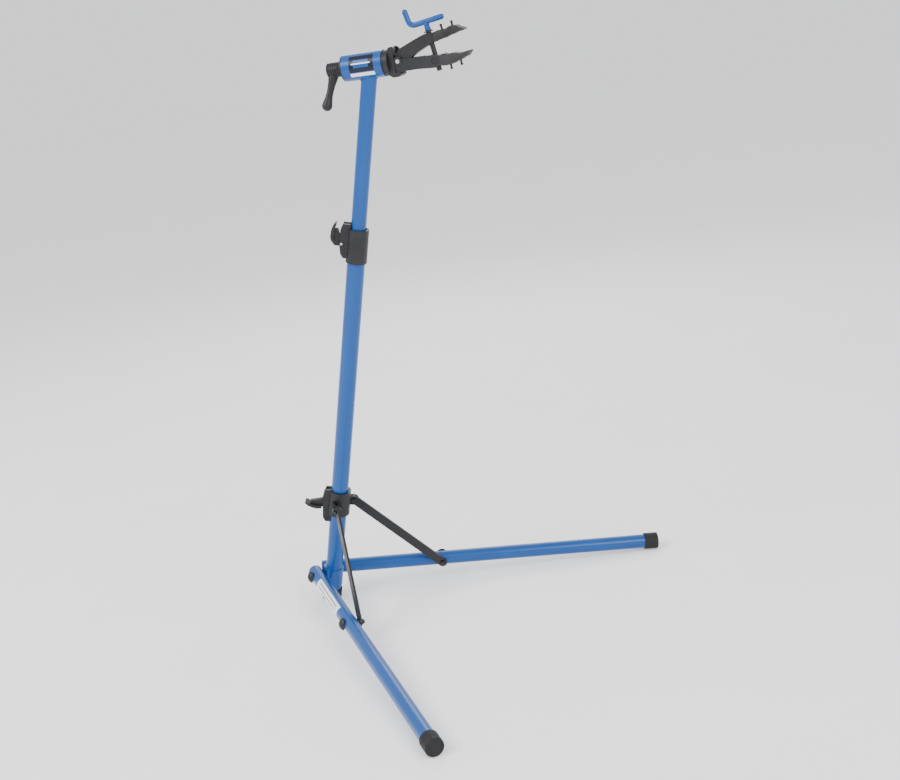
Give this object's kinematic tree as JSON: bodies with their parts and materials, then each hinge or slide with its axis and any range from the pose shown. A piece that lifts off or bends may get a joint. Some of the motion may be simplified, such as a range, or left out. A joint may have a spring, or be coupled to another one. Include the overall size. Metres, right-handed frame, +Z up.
{
  "type": "bike repair stand",
  "caption": "Folding workshop stand: a leaning telescopic mast on two braced legs, with a turning screw clamp that grips a tube",
  "frame": {"origin": "centre of the mast foot where it stands on the floor", "axes": "+Z up; +X forward, the way the mast leans and the legs spread; +Y to the left"},
  "size_m": [0.6656, 0.9966, 1.2792],
  "materials": {
    "blue_paint": "satin blue paint",
    "black_paint": "satin black powder coat",
    "black_plastic": "moulded matt black",
    "rubber": "matt rubber",
    "jaw_rubber": "soft grey-black rubber",
    "steel": "zinc plated",
    "cast_black": "black painted casting",
    "label_white": "printed film",
    "label_dark": "printed film",
    "nylon": "moulded nylon"
  },
  "bodies": {
    "base": {"lower_tube": "blue_paint", "mast_foot": "rubber", "leg_bracket": "blue_paint", "slide_bushing": "nylon", "front_pivot_bolt": "steel", "rear_pivot_bolt": "steel", "front_pivot_cap": "black_plastic", "rear_pivot_cap": "black_plastic", "upper_collar": "black_plastic", "upper_lever_pin": "steel"},
    "upper_lever": {"upper_cam_lever": "black_plastic"},
    "collar": {"lower_collar": "black_plastic", "lower_lever_pin": "black_paint", "front_lug_bolts": "black_paint", "rear_lug_bolts": "black_paint"},
    "lower_lever": {"lower_cam_lever": "black_plastic"},
    "front_leg_body": {"front_leg": "blue_paint", "front_leg_foot": "rubber", "front_leg_plug": "black_plastic", "front_leg_label": "label_white", "front_brace_bolt": "steel", "front_brace_cap": "black_plastic", "front_brace_spacer": "black_plastic", "front_brace_nut": "black_paint"},
    "rear_leg_body": {"rear_leg": "blue_paint", "rear_leg_foot": "rubber", "rear_leg_plug": "black_plastic", "rear_brace_bolt": "steel", "rear_brace_cap": "black_plastic", "rear_brace_spacer": "black_plastic", "rear_brace_nut": "black_paint"},
    "front_arm_body": {"front_brace_arm": "black_paint"},
    "rear_arm_body": {"rear_brace_arm": "black_paint"},
    "upper_mast": {"upper_tube": "blue_paint", "guide_plug": "nylon", "head_tube": "blue_paint", "head_label": "label_dark", "head_strip": "label_white", "front_bushing": "black_plastic", "rear_bushing": "black_plastic"},
    "clamp": {"clamp_shaft": "steel", "clamp_body": "cast_black", "jaw_pin": "steel", "lower_jaw_arm": "cast_black", "lower_jaw_cover": "jaw_rubber"},
    "lock": {"lock_washer": "black_plastic", "lock_lever": "black_plastic"},
    "upper_jaw": {"upper_jaw_arm": "cast_black", "upper_jaw_cover": "jaw_rubber"},
    "screw_nut": {"barrel_nut": "black_paint"},
    "seat": {"screw_seat": "black_paint"},
    "screw": {"jaw_screw": "black_paint", "jaw_handle": "blue_paint"}
  },
  "joints": [
    {"name": "height_slide", "type": "slide", "parent": "base", "child": "upper_mast", "axis": [0.2588, 0, 0.9659], "range_m": [-0.2, 0.275]},
    {"name": "upper_lever_swing", "type": "hinge", "parent": "base", "child": "upper_lever", "pos_m": [0.19637, -0.01797, 0.83979], "axis": [0.5261, -0.8387, -0.141], "range_deg": [0, 86]},
    {"name": "front_leg_fold", "type": "hinge", "parent": "base", "child": "front_leg_body", "pos_m": [-0.00617, -0.03015, 0.06315], "axis": [-0.5746, -0.8039, 0.154], "range_deg": [0, 75]},
    {"name": "rear_leg_fold", "type": "hinge", "parent": "base", "child": "rear_leg_body", "pos_m": [-0.00617, 0.03015, 0.06315], "axis": [0.5746, -0.8039, -0.154], "range_deg": [0, 75]},
    {"name": "front_arm_swing", "type": "hinge", "parent": "front_leg_body", "child": "front_arm_body", "pos_m": [0.2135, -0.16315, 0.04493], "axis": [-0.5746, -0.8039, 0.154], "range_deg": [-131.24, 0]},
    {"name": "rear_arm_swing", "type": "hinge", "parent": "rear_leg_body", "child": "rear_arm_body", "pos_m": [0.2135, 0.16315, 0.04493], "axis": [0.5746, -0.8039, -0.154], "range_deg": [-131.24, 0]},
    {"name": "collar_slide", "type": "slide", "parent": "base", "child": "collar", "axis": [0.2588, 0, 0.9659], "range_m": [0, 0.32966]},
    {"name": "lower_lever_swing", "type": "hinge", "parent": "collar", "child": "lower_lever", "pos_m": [0.0403, -0.01797, 0.25734], "axis": [0.5261, -0.8387, -0.141], "range_deg": [-86, 0]},
    {"name": "head_turn", "type": "hinge", "parent": "upper_mast", "child": "clamp", "pos_m": [0.3176, 0, 1.1853], "axis": [0.9682, 0.25, 0.0085], "continuous": true},
    {"name": "lock_turn", "type": "hinge", "parent": "clamp", "child": "lock", "pos_m": [0.3176, 0, 1.1853], "axis": [0.9682, 0.25, 0.0085], "range_deg": [-90, 90]},
    {"name": "handle_spin", "type": "hinge", "parent": "seat", "child": "screw", "pos_m": [0.45162, 0.03519, 1.178], "axis": [-0.1347, -0.1032, 0.9855], "range_deg": [-1984.69, 2137.36]},
    {"name": "upper_jaw_swing", "type": "hinge", "parent": "clamp", "child": "upper_jaw", "pos_m": [0.37879, 0.0158, 1.18584], "axis": [0.25, -0.9659, -0.067], "range_deg": [-13.01, 14.01]},
    {"name": "nut_tilt", "type": "hinge", "parent": "clamp", "child": "screw_nut", "pos_m": [0.45162, 0.03519, 1.178], "axis": [0.25, -0.9659, -0.067], "range_deg": [-8.51, 9.17]},
    {"name": "seat_slide", "type": "slide", "parent": "screw_nut", "child": "seat", "axis": [-0.1347, -0.1032, 0.9855], "range_m": [-0.01655, 0.01782]}
  ],
  "couplings": [
    {"joint": "rear_leg_fold", "follows": "front_leg_fold", "ratio": 1},
    {"joint": "front_arm_swing", "follows": "front_leg_fold", "ratio": -1.7497},
    {"joint": "rear_arm_swing", "follows": "front_leg_fold", "ratio": -1.7497},
    {"joint": "collar_slide", "follows": "front_leg_fold", "m_per_rad": 0.25183},
    {"joint": "upper_jaw_swing", "follows": "handle_spin", "ratio": 0.0065501},
    {"joint": "nut_tilt", "follows": "handle_spin", "ratio": 0.0042838},
    {"joint": "seat_slide", "follows": "handle_spin", "m_per_rad": 0.00047746}
  ]
}
